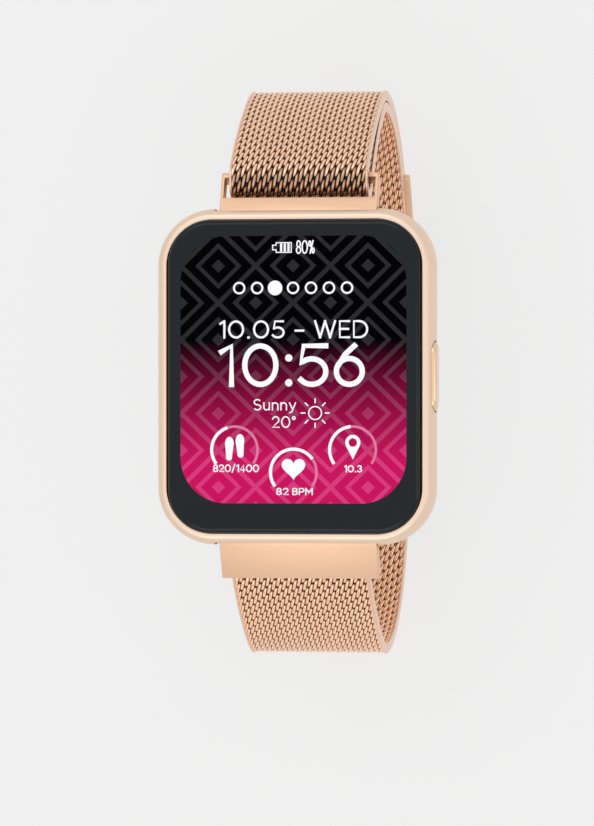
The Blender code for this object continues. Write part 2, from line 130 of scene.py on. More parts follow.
def carve(bm, tools, operation="DIFFERENCE"):
    """The shape with the tool shapes cut out of it, or joined to it."""
    base = raw_object("carved", bm)
    helpers = []
    for tool in tools:
        helper = raw_object("tool", tool)
        cut = base.modifiers.new("cut", "BOOLEAN")
        cut.operation = operation
        cut.solver = "EXACT"
        cut.object = helper
        helpers.append(helper)
    seen = base.evaluated_get(bpy.context.evaluated_depsgraph_get())
    out = bmesh.new()
    out.from_mesh(seen.to_mesh())
    for obj in helpers + [base]:
        bpy.data.objects.remove(obj, do_unlink=True)
    bmesh.ops.remove_doubles(out, verts=out.verts, dist=1e-4)
    return out


def piece(name, bm, looks, body, *nodes, sharp=32, outward=True, slot=None):
    """A finished piece from a bmesh in millimetres, riding on a body and standing for CAD nodes."""
    if outward:
        bmesh.ops.recalc_face_normals(bm, faces=bm.faces)
    bmesh.ops.scale(bm, verts=bm.verts, vec=(0.001, 0.001, 0.001))
    mesh = bpy.data.meshes.new(name)
    bm.to_mesh(mesh)
    bm.free()
    mesh.shade_smooth()
    mesh.set_sharp_from_angle(angle=math.radians(sharp))
    for look in looks if isinstance(looks, (list, tuple)) else [looks]:
        mesh.materials.append(look)
    obj = bpy.data.objects.new(name, mesh)
    bpy.context.scene.collection.objects.link(obj)
    if body:
        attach(obj, body)
    if nodes:
        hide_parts(*nodes)
    return obj


def node_group(name, inputs, outputs):
    """A shader group with plain inputs (name, type, value) and outputs (name, type)."""
    tree = bpy.data.node_groups.new(name, "ShaderNodeTree")
    for label, kind, value in inputs:
        socket = tree.interface.new_socket(label, in_out="INPUT", socket_type=kind)
        socket.default_value = value
    for label, kind in outputs:
        tree.interface.new_socket(label, in_out="OUTPUT", socket_type=kind)
    return tree, tree.nodes.new("NodeGroupInput"), tree.nodes.new("NodeGroupOutput")


def add_node(tree, kind, settings=None, **inputs):
    """A shader node with its settings and its unlinked inputs, or links from other sockets."""
    node = tree.nodes.new(kind)
    for key, value in (settings or {}).items():
        setattr(node, key, value)
    for key, value in inputs.items():
        socket = node.inputs[int(key[1:])] if key[0] == "i" and key[1:].isdigit() else node.inputs[key]
        if isinstance(value, bpy.types.NodeSocket):
            tree.links.new(value, socket)
        else:
            socket.default_value = value
    return node


FLOAT, VECTOR = "NodeSocketFloat", "NodeSocketVector"

# Fine grain of a finish: blasted when the scale is even, brushed when one direction is stretched.
grain_group, grain_in, grain_out = node_group(
    "finish_grain",
    [("Scale", VECTOR, (1, 1, 1)), ("Size", FLOAT, 3000.0), ("Mottle", FLOAT, 120.0)],
    [("Grain", FLOAT), ("Cloud", FLOAT)])
place = add_node(grain_group, "ShaderNodeTexCoord").outputs["Object"]
stretched = add_node(grain_group, "ShaderNodeVectorMath", {"operation": "MULTIPLY"}, i0=place,
                     i1=grain_in.outputs["Scale"])
fine = add_node(grain_group, "ShaderNodeTexNoise", Vector=stretched.outputs[0],
                Scale=grain_in.outputs["Size"], Detail=3.0, Roughness=0.6)
cloud = add_node(grain_group, "ShaderNodeTexNoise", Vector=place, Scale=grain_in.outputs["Mottle"],
                 Detail=2.0, Roughness=0.5)
grain_group.links.new(fine.outputs["Fac"], grain_out.inputs["Grain"])
grain_group.links.new(cloud.outputs["Fac"], grain_out.inputs["Cloud"])


def grained(name, dark, light, rough_low, rough_high, metallic, stretch=(1, 1, 1), size=3000.0,
            mottle=120.0, bump=0.1, bump_mm=0.01, coat=0.0, specular=0.5):
    """A finish whose tone and roughness follow a soft cloud and whose surface carries a fine grain."""
    made = bpy.data.materials.new(name)
    made.use_nodes = True
    tree = made.node_tree
    shader = tree.nodes["Principled BSDF"]
    grain = add_node(tree, "ShaderNodeGroup", {"node_tree": grain_group}, Scale=stretch, Size=size,
                     Mottle=mottle)
    tone = add_node(tree, "ShaderNodeMix", {"data_type": "RGBA"}, i0=grain.outputs["Cloud"],
                    i6=(*dark, 1), i7=(*light, 1))
    rough = add_node(tree, "ShaderNodeMapRange", i0=grain.outputs["Grain"], i1=0.25, i2=0.75,
                     i3=rough_low, i4=rough_high)
    height = add_node(tree, "ShaderNodeBump", Strength=bump, Distance=bump_mm * 0.001,
                      Height=grain.outputs["Grain"])
    tree.links.new(tone.outputs[2], shader.inputs["Base Color"])
    tree.links.new(rough.outputs[0], shader.inputs["Roughness"])
    tree.links.new(height.outputs[0], shader.inputs["Normal"])
    shader.inputs["Metallic"].default_value = metallic
    shader.inputs["Coat Weight"].default_value = coat
    shader.inputs["Specular IOR Level"].default_value = specular
    return made


case_satin = grained("case_satin", (0.80, 0.62, 0.485), (0.83, 0.65, 0.505), 0.42, 0.52, 1.0,
                     size=9000.0, mottle=60.0, bump=0.12, bump_mm=0.004)
case_polish = grained("case_polish", (0.93, 0.66, 0.42), (0.96, 0.70, 0.46), 0.12, 0.2, 1.0,
                      size=6000.0, mottle=90.0, bump=0.03, bump_mm=0.002)

case_low, case_high = box_mm("mid_case")
case_mid = (case_low + case_high) / 2
case_width, case_length = case_high.x - case_low.x, case_high.y - case_low.y
glass_low, glass_high = box_mm("cover_glass")
glass_mid = (glass_low + glass_high) / 2
glass_width, glass_length = glass_high.x - glass_low.x, glass_high.y - glass_low.y
JOINTS = {joint["name"]: joint for joint in frame["record"]["behaviour"]["joints"]}
upper_pivot = Vector(JOINTS["upper_link_pivot"]["pos_m"]) * 1000
lower_pivot = Vector(JOINTS["lower_link_pivot"]["pos_m"]) * 1000

corner_radius, side_round = 7.8, 1.2
widest = case_high.z - 2.95
half_block = side_round + 0.01
frame_bm = block(case_width, case_length, -half_block, half_block, corner_radius, 20)
rims = [e for e in frame_bm.edges if abs(e.verts[0].co.z - e.verts[1].co.z) < 1e-6]
soften(frame_bm, rims, side_round, 8)
for vert in frame_bm.verts:
    reach = case_high.z - widest if vert.co.z > 0 else widest - case_low.z
    vert.co.z = widest + vert.co.z * reach / half_block
bmesh.ops.translate(frame_bm, verts=frame_bm.verts, vec=(case_mid.x, case_mid.y, 0))
rim_width = (case_width - glass_width) / 2 - side_round
chamfer_width, glass_gap = 0.14, 0.1
top = max(frame_bm.faces, key=lambda f: f.calc_center_median().z)
bmesh.ops.inset_region(frame_bm, faces=[top], thickness=rim_width - chamfer_width - glass_gap, depth=0,
                       use_even_offset=True)
chamfer = bmesh.ops.inset_region(frame_bm, faces=[top], thickness=chamfer_width, depth=-chamfer_width,
                                 use_even_offset=True)
for face in chamfer["faces"]:
    face.material_index = 1
seat_depth, seat_draft = case_high.z - glass_low.z + 0.5, 0.005
seat_ledge, back_rim = 1.3, 1.8
bmesh.ops.inset_region(frame_bm, faces=[top], thickness=seat_draft, depth=-seat_depth)
bmesh.ops.inset_region(frame_bm, faces=[top], thickness=seat_ledge, depth=0)
bottom = min(frame_bm.faces, key=lambda f: f.calc_center_median().z)
bmesh.ops.inset_region(frame_bm, faces=[bottom], thickness=back_rim, depth=0)
opening_edges = [*top.edges, *bottom.edges]
bmesh.ops.delete(frame_bm, geom=[top, bottom], context="FACES_ONLY")
bmesh.ops.bridge_loops(frame_bm, edges=opening_edges)

recess_width, recess_radius = 22.4, 1.8
pin_hole_radius, pin_hole_depth = 0.6, 1.2
cutters = []
for pivot, side in ((upper_pivot, 1), (lower_pivot, -1)):
    out = case_mid.y + side * (case_length / 2 + 1)
    left, right = case_mid.x - recess_width / 2, case_mid.x + recess_width / 2
    cutters.append(bar(recess_radius, (left, pivot.y, pivot.z), (right, pivot.y, pivot.z), 40))
    cutters.append(block(recess_width, abs(out - pivot.y), pivot.z - recess_radius,
                         pivot.z + recess_radius, x=case_mid.x, y=(out + pivot.y) / 2))
    cutters.append(block(recess_width, 1, pivot.z, case_high.z + 1, 0.15, 3, x=case_mid.x,
                         y=case_mid.y + side * (case_length / 2 + 0.17)))
    cutters.append(bar(pin_hole_radius, (left - pin_hole_depth, pivot.y, pivot.z),
                       (right + pin_hole_depth, pivot.y, pivot.z), 20))
button_low, button_high = box_mm("side_button")
stem_z = sum(box_mm("button_clip"), Vector()).z / 2
button_length, button_height, button_thick = button_high.y - button_low.y, 3.4, 0.9
pocket_gap, stem_hole_radius = 0.2, 0.9
button_mid = Vector((0, (button_low.y + button_high.y) / 2, button_high.z - button_height / 2))


def slot_block(length, height, inner, outer):
    """An oval bar whose length lies along the side of the case and whose ends are half round."""
    bm = bmesh.new()
    bmesh.ops.create_cube(bm, size=1.0)
    bmesh.ops.scale(bm, verts=bm.verts, vec=(outer - inner, length, height))
    across = [e for e in bm.edges if abs(e.verts[0].co.x - e.verts[1].co.x) > 1e-6]
    soften(bm, across, height / 2 * 0.985, 10)
    bmesh.ops.translate(bm, verts=bm.verts, vec=((inner + outer) / 2, button_mid.y, button_mid.z))
    return bm


cutters.append(slot_block(button_length + 2 * pocket_gap, button_height + 2 * pocket_gap,
                          case_high.x - button_thick, case_high.x + 1))
cutters.append(bar(stem_hole_radius, (case_high.x - 4, button_mid.y, stem_z),
                   (case_high.x, button_mid.y, stem_z), 24))
frame_bm = carve(frame_bm, cutters)
piece("case_frame", frame_bm, [case_satin, case_polish], "case", "mid_case", sharp=28,
      slot="rose_gold_case")


# ---- Cover glass --------------------------------------------------------------------------------
# Toughened cover glass with rounded front edges, printed black from behind round the display and
# glued into its seat. It stands a little proud of the chamfer.

glass_black = grained("printed_glass", (0.001, 0.003, 0.005), (0.002, 0.005, 0.008), 0.04, 0.07, 0.0,
                      size=400.0, mottle=30.0, bump=0.01, bump_mm=0.001, specular=0.26)
glass_corner, glass_edge_round = 5.8, 0.85
glass_bm = block(glass_width, glass_length, glass_low.z, glass_high.z, glass_corner, 20,
                 x=glass_mid.x, y=glass_mid.y)
front_edges = [e for e in glass_bm.edges if all(v.co.z > glass_high.z - 1e-4 for v in e.verts)]
soften(glass_bm, front_edges, glass_edge_round, 8)
piece("printed_cover_glass", glass_bm, glass_black, "case", "cover_glass", sharp=50, slot="cover_glass")


# ---- Lit display --------------------------------------------------------------------------------
# The active picture under the glass: a black to magenta ground with a tone on tone lattice of plain
# diamonds. It is a skin on the glass, since the glass above it is clear.

screen_z, screen_rise = glass_high.z, 0.93
screen_width, screen_length, screen_corner = 30.8, 36.1, 6.2
diamond_width, diamond_length = 5.1, 4.98
line_full, line_gone = 0.075, 0.095
inner_diamonds = ((0.45, 0.075), (0.98, 0.16))
fade_top, fade_bottom, fade_power = 4.9, -11.4, 1.3


def glowing(name):
    """A dark glossy skin that shines with whatever colour is fed to it."""
    made = bpy.data.materials.new(name)
    made.use_nodes = True
    shader = made.node_tree.nodes["Principled BSDF"]
    shader.inputs["Base Color"].default_value = (0.0005, 0.0005, 0.0006, 1)
    shader.inputs["Roughness"].default_value = 0.06
    shader.inputs["Specular IOR Level"].default_value = 0.01
    shader.inputs["Emission Strength"].default_value = 1.0
    return made, made.node_tree, shader


ground, tree, shader = glowing("display_ground")
spot = add_node(tree, "ShaderNodeTexCoord").outputs["Object"]
moved = add_node(tree, "ShaderNodeMapping", Vector=spot, Scale=(1000, 1000, 1000),
                 Location=(-glass_mid.x, -glass_mid.y, 0))
axes = add_node(tree, "ShaderNodeSeparateXYZ", i0=moved.outputs[0])
across = add_node(tree, "ShaderNodeMath", {"operation": "MULTIPLY"}, i0=axes.outputs[0],
                  i1=1 / diamond_width)
upward = add_node(tree, "ShaderNodeMath", {"operation": "MULTIPLY"}, i0=axes.outputs[1],
                  i1=1 / diamond_length)
lines = []
for operation in ("ADD", "SUBTRACT"):
    slanted = add_node(tree, "ShaderNodeMath", {"operation": operation}, i0=across.outputs[0],
                       i1=upward.outputs[0])
    lines.append(add_node(tree, "ShaderNodeMath", {"operation": "PINGPONG"}, i0=slanted.outputs[0], i1=1.0))
nearest = add_node(tree, "ShaderNodeMath", {"operation": "MINIMUM"}, i0=lines[0].outputs[0],
                   i1=lines[1].outputs[0])
lattice = add_node(tree, "ShaderNodeMapRange", i0=nearest.outputs[0], i1=line_full, i2=line_gone,
                   i3=1.0, i4=0.0)
for distance, half in inner_diamonds:
    inner_diamond = add_node(tree, "ShaderNodeMath", {"operation": "COMPARE"}, i0=nearest.outputs[0],
                             i1=distance, i2=half)
    lattice = add_node(tree, "ShaderNodeMath", {"operation": "MAXIMUM"}, i0=lattice.outputs[0],
                       i1=inner_diamond.outputs[0])
fade = add_node(tree, "ShaderNodeMapRange", i0=axes.outputs[1], i1=fade_top, i2=fade_bottom, i3=0.0, i4=1.0)
fade = add_node(tree, "ShaderNodeMath", {"operation": "POWER"}, i0=fade.outputs[0], i1=fade_power)
plain = add_node(tree, "ShaderNodeMix", {"data_type": "RGBA"}, i0=fade.outputs[0],
                 i6=(0.0, 0.0, 0.0008, 1), i7=(0.578, 0.007, 0.112, 1))
tinted = add_node(tree, "ShaderNodeMix", {"data_type": "RGBA"}, i0=fade.outputs[0],
                  i6=(0.024, 0.023, 0.026, 1), i7=(0.672, 0.046, 0.195, 1))
picture = add_node(tree, "ShaderNodeMix", {"data_type": "RGBA"}, i0=lattice.outputs[0],
                   i6=plain.outputs[2], i7=tinted.outputs[2])
tree.links.new(picture.outputs[2], shader.inputs["Emission Color"])
screen_bm = block(screen_width, screen_length, screen_z - 0.02, screen_z + 0.012, screen_corner, 20,
                  x=glass_mid.x, y=glass_mid.y + screen_rise)
piece("display_picture", screen_bm, ground, "case", slot="display")


# ---- Watch face marks ---------------------------------------------------------------------------
# What the display shows: battery, week dots, date, time, weather and three activity gauges. They are
# thin lit skins, drawn as strokes of one width or as filled outlines.


def lit_mark(name, low, high):
    """The light of a mark, a little uneven between two tones."""
    made, tree, shader = glowing(name)
    spot = add_node(tree, "ShaderNodeTexCoord").outputs["Object"]
    flicker = add_node(tree, "ShaderNodeTexNoise", Vector=spot, Scale=900.0, Detail=1.0)
    glow = add_node(tree, "ShaderNodeMix", {"data_type": "RGBA"}, i0=flicker.outputs["Fac"],
                    i6=(*low, 1), i7=(*high, 1))
    tree.links.new(glow.outputs[2], shader.inputs["Emission Color"])
    return made


white = lit_mark("lit_white", (0.97, 0.97, 0.98), (1, 1, 1))
dim = lit_mark("lit_dim", (0.71, 0.20, 0.36), (0.74, 0.22, 0.39))
mark_level, mark_flatness, fill_height = 0.03, 0.03, 0.2


def wire_curve(name, radius, resolution):
    """An empty curve whose lines become round wires with closed ends."""
    curve = bpy.data.curves.new(name, "CURVE")
    curve.dimensions = "3D"
    curve.bevel_depth = radius
    curve.bevel_resolution = resolution
    curve.use_fill_caps = True
    return curve


def add_line(curve, points, closed=False):
    """Adds a line through points of two or three coordinates to a curve."""
    spline = curve.splines.new("POLY")
    spline.points.add(len(points) - 1)
    for target, point in zip(spline.points, points):
        target.co = (*Vector(point).to_3d(), 1)
    spline.use_cyclic_u = closed


def drawn(name, curve):
    """The surface of a curve as a bmesh. The curve itself is removed."""
    source = bpy.data.objects.new(name, curve)
    bpy.context.scene.collection.objects.link(source)
    seen = source.evaluated_get(bpy.context.evaluated_depsgraph_get())
    bm = bmesh.new()
    bm.from_mesh(seen.to_mesh())
    bpy.data.objects.remove(source, do_unlink=True)
    bpy.data.curves.remove(curve)
    bmesh.ops.remove_doubles(bm, verts=bm.verts, dist=1e-4)
    return bm


def flat_mark(name, curve, look, level=mark_level):
    """Makes a curve a thin mesh lying on the display."""
    bm = drawn(name, curve)
    bmesh.ops.scale(bm, verts=bm.verts, vec=(1, 1, mark_flatness))
    bmesh.ops.translate(bm, verts=bm.verts, vec=(glass_mid.x, glass_mid.y, screen_z + level))
    piece(name, bm, look, "case", slot="display")


def strokes(name, lines, width, look, level=mark_level):
    """Lines of one width with square ends, each a list of points and whether it closes."""
    curve = wire_curve(name, width / 2, 2)
    for points, closed in lines:
        points = [Vector(point) for point in points]
        if not closed:
            points[0] += (points[0] - points[1]).normalized() * width / 2
            points[-1] += (points[-1] - points[-2]).normalized() * width / 2
        add_line(curve, points, closed)
    flat_mark(name, curve, look, level)


def filled(name, outlines, look):
    """Flat filled outlines, where an outline inside another is a hole."""
    curve = bpy.data.curves.new(name, "CURVE")
    curve.dimensions = "2D"
    curve.fill_mode = "BOTH"
    curve.extrude = fill_height
    for points in outlines:
        add_line(curve, points, True)
    flat_mark(name, curve, look)


def arc(x, y, radius_x, radius_y, first, last, steps=24):
    """Points on an elliptical arc, by its first and last angle in degrees."""
    points = []
    for step in range(steps + 1):
        angle = math.radians(first + (last - first) * step / steps)
        points.append((x + radius_x * math.cos(angle), y + radius_y * math.sin(angle)))
    return points


def circle(x, y, radius):
    """Points round a whole circle, the first not repeated."""
    return arc(x, y, radius, radius, 0, 345, 23)


time_low, time_high, time_stroke = -1.42, 4.49, 0.72
pen = time_stroke / 2
base, cap = time_low + pen, time_high - pen
middle = (base + cap) / 2
digits = [([(-9.75, 3.35), (-8.4, cap), (-8.4, base)], False)]
digits.append((arc(-4.46, middle, 2.13, (cap - base) / 2, 0, 350, 35), True))
bowl_five = arc(2.55, base + 1.72, 1.92, 1.72, 128, -140, 24)
digits.append(([(4.45, cap), (1.45, cap), (1.05, base + 2.85)] + bowl_five, False))
digits.append((arc(7.66, base + 1.74, 1.76, 1.74, 0, 350, 35), True))
digits.append(([(8.35, cap), (7.1, cap - 1.15), (6.1, base + 2.45)], False))
strokes("face_time", digits, time_stroke, white)
filled("face_time_colon", [circle(-0.58, 2.5, 0.5), circle(-0.58, -0.85, 0.5)], white)

# Each sign: its width and its strokes, on a cap height of 1.
GLYPHS = {
    "0": (0.76, [(arc(0.38, 0.5, 0.38, 0.5, 0, 350, 35), True)]),
    "1": (0.28, [([(0.06, 0.86), (0.26, 1)], False), ([(0.28, 1), (0.28, 0)], False)]),
    "2": (0.62, [(arc(0.3, 0.7, 0.3, 0.3, 165, -40, 18) + [(0, 0), (0.62, 0)], False)]),
    "3": (0.6, [(arc(0.28, 0.75, 0.26, 0.25, 150, -90, 16) + arc(0.28, 0.25, 0.3, 0.25, 90, -150, 16),
                 False)]),
    "4": (0.68, [([(0.5, 0), (0.5, 1), (0, 0.25), (0.68, 0.25)], False)]),
    "5": (0.6, [([(0.55, 1), (0.12, 1), (0.05, 0.55)] + arc(0.27, 0.31, 0.32, 0.31, 130, -145, 20), False)]),
    "8": (0.62, [(circle(0.31, 0.75, 0.25), True), (arc(0.31, 0.25, 0.31, 0.25, 0, 345, 23), True)]),
    "/": (0.4, [([(0, -0.1), (0.4, 1.1)], False)]),
    ".": (0.08, [([(0.03, 0), (0.05, 0)], False)]),
    "-": (0.42, [([(0, 0.42), (0.42, 0.42)], False)]),
    "°": (0.26, [(arc(0.14, 0.87, 0.13, 0.13, 0, 340, 17), True)]),
    "%": (0.8, [(arc(0.16, 0.78, 0.15, 0.2, 0, 340, 17), True),
                (arc(0.64, 0.22, 0.15, 0.2, 0, 340, 17), True), ([(0.62, 1), (0.2, 0)], False)]),
    "W": (1.08, [([(x, 1), (0.27 * way, 0)], False) for x, way in ((0, 1), (0.54, 1), (0.54, 3), (1.08, 3))]),
    "E": (0.5, [([(0.5, 1), (0, 1), (0, 0), (0.5, 0)], False), ([(0, 0.52), (0.45, 0.52)], False)]),
    "D": (0.72, [([(0, 0), (0, 1)] + arc(0.28, 0.5, 0.44, 0.5, 90, -90, 18), True)]),
    "B": (0.58, [([(0, 0), (0, 1)] + arc(0.3, 0.76, 0.24, 0.24, 90, -90, 12) + [(0, 0.52)], False),
                 (arc(0.3, 0.26, 0.28, 0.26, 90, -90, 12) + [(0, 0)], False)]),
    "P": (0.6, [([(0, 0), (0, 1)] + arc(0.3, 0.71, 0.3, 0.29, 90, -90, 14) + [(0, 0.42)], False)]),
    "M": (0.84, [([(0, 0), (0, 1)], False), ([(0.84, 0), (0.84, 1)], False),
                 ([(0, 1), (0.42, 0.35)], False), ([(0.84, 1), (0.42, 0.35)], False)]),
    "S": (0.58, [(arc(0.29, 0.75, 0.27, 0.25, 40, 270, 16) + arc(0.29, 0.25, 0.29, 0.25, 90, -140, 16),
                  False)]),
    "u": (0.46, [([(0, 0.68)] + arc(0.23, 0.24, 0.23, 0.24, 180, 360, 14), False),
                 ([(0.46, 0.68), (0.46, 0)], False)]),
    "n": (0.46, [([(0, 0), (0, 0.68)], False),
                 (arc(0.23, 0.44, 0.23, 0.24, 180, 0, 14) + [(0.46, 0)], False)]),
    "y": (0.5, [([(0, 0.68), (0.26, 0.02)], False), ([(0.5, 0.68), (0.2, -0.2), (0.02, -0.28)], False)]),
    " ": (0.12, []),
}


def written(name, words, left, right, low, high, width, spacing=0.26):
    """A line of plain round strokes fitted between two sides, a base line and a cap height."""
    reach = sum(GLYPHS[sign][0] for sign in words) + spacing * (len(words) - 1)
    across, upward = (right - left - width) / reach, high - low - width
    lines, start = [], 0.0
    for sign in words:
        for points, closed in GLYPHS[sign][1]:
            lines.append(([(left + width / 2 + (start + x) * across, low + width / 2 + y * upward)
                           for x, y in points], closed))
        start += GLYPHS[sign][0] + spacing
    strokes(name, lines, width, white)


small_stroke = 0.17
written("face_date", "10.05 - WED", -10.23, 10.23, 5.13, 7.59, 0.29)
written("face_battery_share", "80%", 0.38, 2.98, 16.52, 18.38, 0.19, 0.22)
written("face_weather", "Sunny", -5.42, 0.42, -4.58, -3.03, small_stroke)
written("face_degrees", "20°", -2.87, 0.36, -6.93, -5.34, small_stroke)
written("face_steps", "820/1400", -10.95, -4.63, -12.91, -11.86, small_stroke)
written("face_pulse", "82 BPM", -2.32, 2.7, -15.99, -15.01, small_stroke)
written("face_distance", "10.3", 6.92, 9.42, -12.91, -11.93, small_stroke)

cell = [(-2.3, 16.75), (-0.24, 16.75), (-0.24, 18.05), (-2.3, 18.05), (-2.3, 17.72), (-2.78, 17.72),
        (-2.78, 17.1), (-2.3, 17.1)]
bars = [([(x, 17.0), (x, 17.8)], False) for x in (-1.62, -1.12, -0.62)]
strokes("face_battery", [(cell, True)], 0.2, white)
strokes("face_battery_bars", bars, 0.3, white)

week, week_y, week_step, today = [], 11.95, 2.45, 2
for day in range(7):
    x = (day - 3) * week_step
    if day == today:
        filled("face_week_today", [circle(x, week_y, 1.0)], white)
    else:
        week.append((circle(x, week_y, 0.72), True))
strokes("face_week", week, 0.26, white)

sun_x, sun_y = 3.01, -4.92
sun = [(circle(sun_x, sun_y, 0.88), True)]
for ray in range(8):
    angle = math.radians(45 * ray)
    way = (math.cos(angle), math.sin(angle))
    sun.append(([(sun_x + way[0] * r, sun_y + way[1] * r) for r in (1.4, 1.9)], False))
strokes("face_sun", sun, small_stroke, white)

gauge_radius, gauge_start, gauge_end = 3.14, 213, -33
GAUGES = (("steps", -7.98, -9.89, 112), ("pulse", 0.06, -12.93, 39), ("distance", 8.12, -9.88, 99))
for word, x, y, reached in GAUGES:
    done = arc(x, y, gauge_radius, gauge_radius, gauge_start, reached, 30)
    rest = arc(x, y, gauge_radius, gauge_radius, reached - 6, gauge_end, 30)
    strokes(f"face_gauge_{word}", [(done, False)], 0.42, white)
    strokes(f"face_gauge_{word}_rest", [(rest, False)], 0.34, dim, 0.02)

soles = []
for toe_x, toe_y, heel_x, heel_y in ((-8.69, -9.08, -8.74, -10.88), (-7.25, -8.71, -7.17, -10.5)):
    sole = arc(toe_x, toe_y, 0.6, 0.95, -25, 205, 18)
    sole += arc(heel_x, heel_y, 0.42, 0.46, 165, 375, 14)
    soles.append(sole)
filled("face_footprints", soles, white)

heart = []
for step in range(40):
    t = math.tau * step / 40
    wide = 16 * math.sin(t) ** 3
    tall = 13 * math.cos(t) - 5 * math.cos(2 * t) - 2 * math.cos(3 * t) - math.cos(4 * t)
    heart.append((0.06 + wide * 0.101, -12.3 + tall * 0.1))
filled("face_heart", [heart], white)
pin_x, pin_y = 8.14, -8.89
pin = arc(pin_x, pin_y, 1.03, 1.03, -28, 208, 24) + [(pin_x, -11.18)]
filled("face_pin", [pin, circle(pin_x, pin_y, 0.58)], white)


# ---- Side button --------------------------------------------------------------------------------
# A milled and polished oval cap on a stem, with rounded face edges. A ring keeps the stem in the case,
# a silicone seal lies round it, and it presses a small switch inside.

button_face, dome_round, stem_radius = button_high.x, 0.6, 0.6
cap_bm = slot_block(button_length, button_height, button_face - button_thick, button_face)
face_edges = [e for e in cap_bm.edges if all(v.co.x > button_face - 1e-4 for v in e.verts)]
soften(cap_bm, face_edges, dome_round, 8)
stem = bar(stem_radius, (button_low.x, button_mid.y, stem_z), (button_face - 0.5, button_mid.y, stem_z))
cap_bm = carve(cap_bm, [stem], "UNION")
button_polish = grained("button_polish", (0.80, 0.56, 0.37), (0.84, 0.60, 0.41), 0.2, 0.3, 1.0,
                        size=8000.0, mottle=80.0, bump=0.05, bump_mm=0.003)
piece("button_cap", cap_bm, button_polish, "button", "side_button", sharp=40, slot="rose_gold_steel")


# ---- Strap links --------------------------------------------------------------------------------
# Two stainless links, plated rose gold and finely brushed across the strap. The upper one is a frame
# with thin rails and a flat far bar for the mesh to fold over. The lower one is a plain bar.

link_satin = grained("link_satin", (0.74, 0.485, 0.325), (0.78, 0.515, 0.35), 0.42, 0.52, 1.0,
                     stretch=(0.06, 1, 1), size=9000.0, mottle=70.0, bump=0.16, bump_mm=0.004)
link_width, link_thick, knuckle = 21.6, 2.2, 1.35
upper_tilt, upper_length = math.radians(25), 5.55
lower_tilt, lower_length = math.radians(28), 5.2
window_start, rail_width, far_bar = 1.75, 0.45, 0.75
bore_radius, link_edge_round = 0.8, 0.12
face_start, under_start = 0.06, 0.9


class LinkPlace:
    """Points on a link: s runs out from the knuckle along its face and t is the depth below the face."""

    def __init__(self, pivot, side, tilt):
        self.pivot = Vector((pivot.y, pivot.z))
        self.side = side
        self.along = Vector((side * math.cos(tilt), -math.sin(tilt)))
        self.out = Vector((side * math.sin(tilt), math.cos(tilt)))

    def at(self, s, t):
        return self.pivot + self.along * s + self.out * (knuckle - t)


upper = LinkPlace(upper_pivot, 1, upper_tilt)
lower = LinkPlace(lower_pivot, -1, lower_tilt)


def across_bar(outline, width):
    """A solid across the watch from its side outline of (y, z) points."""
    bm = bmesh.new()
    left = case_mid.x - width / 2
    face = bm.faces.new([bm.verts.new((left, y, z)) for y, z in outline])
    made = bmesh.ops.extrude_face_region(bm, geom=[face])
    moved = [v for v in made["geom"] if isinstance(v, bmesh.types.BMVert)]
    bmesh.ops.translate(bm, verts=moved, vec=(width, 0, 0))
    bmesh.ops.recalc_face_normals(bm, faces=bm.faces)
    return bm


def link_shape(place, length):
    """The round knuckle about the spring bar, running out into the flat plate."""
    first = math.atan2(place.out.y, place.out.x)
    points = []
    for step in range(25):
        angle = first + place.side * math.pi * step / 24
        points.append(place.pivot + Vector((math.cos(angle), math.sin(angle))) * knuckle)
    points += [place.at(under_start, link_thick), place.at(length, link_thick), place.at(length, 0),
               place.at(face_start, 0)]
    return across_bar(points, link_width)


def bar_bore(pivot):
    """The hole through a link for its spring bar."""
    return bar(bore_radius, (-link_width, pivot.y, pivot.z), (link_width, pivot.y, pivot.z), 28)


def sharp_edges(bm, degrees=40):
    """The edges where two faces meet at more than this angle."""
    return [e for e in bm.edges if len(e.link_faces) == 2 and e.calc_face_angle(0) > math.radians(degrees)]


upper_bm = link_shape(upper, upper_length)
window_end = upper_length - far_bar
window = [upper.at(s, t) for s, t in ((window_start, -1), (window_end, -1), (window_end, 4),
                                      (window_start, 4))]
upper_bm = carve(upper_bm, [across_bar(window, link_width - 2 * rail_width), bar_bore(upper_pivot)])
soften(upper_bm, sharp_edges(upper_bm), link_edge_round, 2)
piece("upper_link_frame", upper_bm, link_satin, "upper_link", "upper_link", sharp=35, slot="rose_gold_steel")

lower_bm = carve(link_shape(lower, lower_length), [bar_bore(lower_pivot)])
soften(lower_bm, sharp_edges(lower_bm), link_edge_round, 2)
piece("lower_link_plate", lower_bm, link_satin, "lower_link", "lower_link", sharp=35, slot="rose_gold_steel")


# ---- Woven mesh band ----------------------------------------------------------------------------
# One milanese band: flattened wire coils lie across the strap, each wound through the next one half
# a turn along. Its fixed end is welded in the lower link. It goes round the wrist, up through the
# upper link's window, over the far bar and back on the outside to the tab.

band_low, band_high = box_mm("band_back_run")
band_width = band_high.x - band_low.x
band_thick = 1.3
loop_low_y, loop_high_y = band_low.y + band_thick / 2, band_high.y - band_thick / 2
loop_z = band_high.z + 0.15
loop_depth = loop_z - band_thick / 2
rest_low_y, rest_high_y = case_mid.y - 9.0, case_mid.y + 5.0
layer_step = 1.6
fold_radius, fold_place = 2.15, 4.95
fold_mid = upper.at(fold_place, link_thick / 2)


def bend(start, start_way, end, end_way, pull_start, pull_end):
    """Points on a smooth curve that leaves and arrives in the two given directions."""
    a, d = Vector(start), Vector(end)
    b, c = a + Vector(start_way) * pull_start, d - Vector(end_way) * pull_end
    points = []
    for t in (step / 60 for step in range(61)):
        points.append(a * (1 - t) ** 3 + b * 3 * t * (1 - t) ** 2 + c * 3 * t * t * (1 - t) + d * t ** 3)
    return points


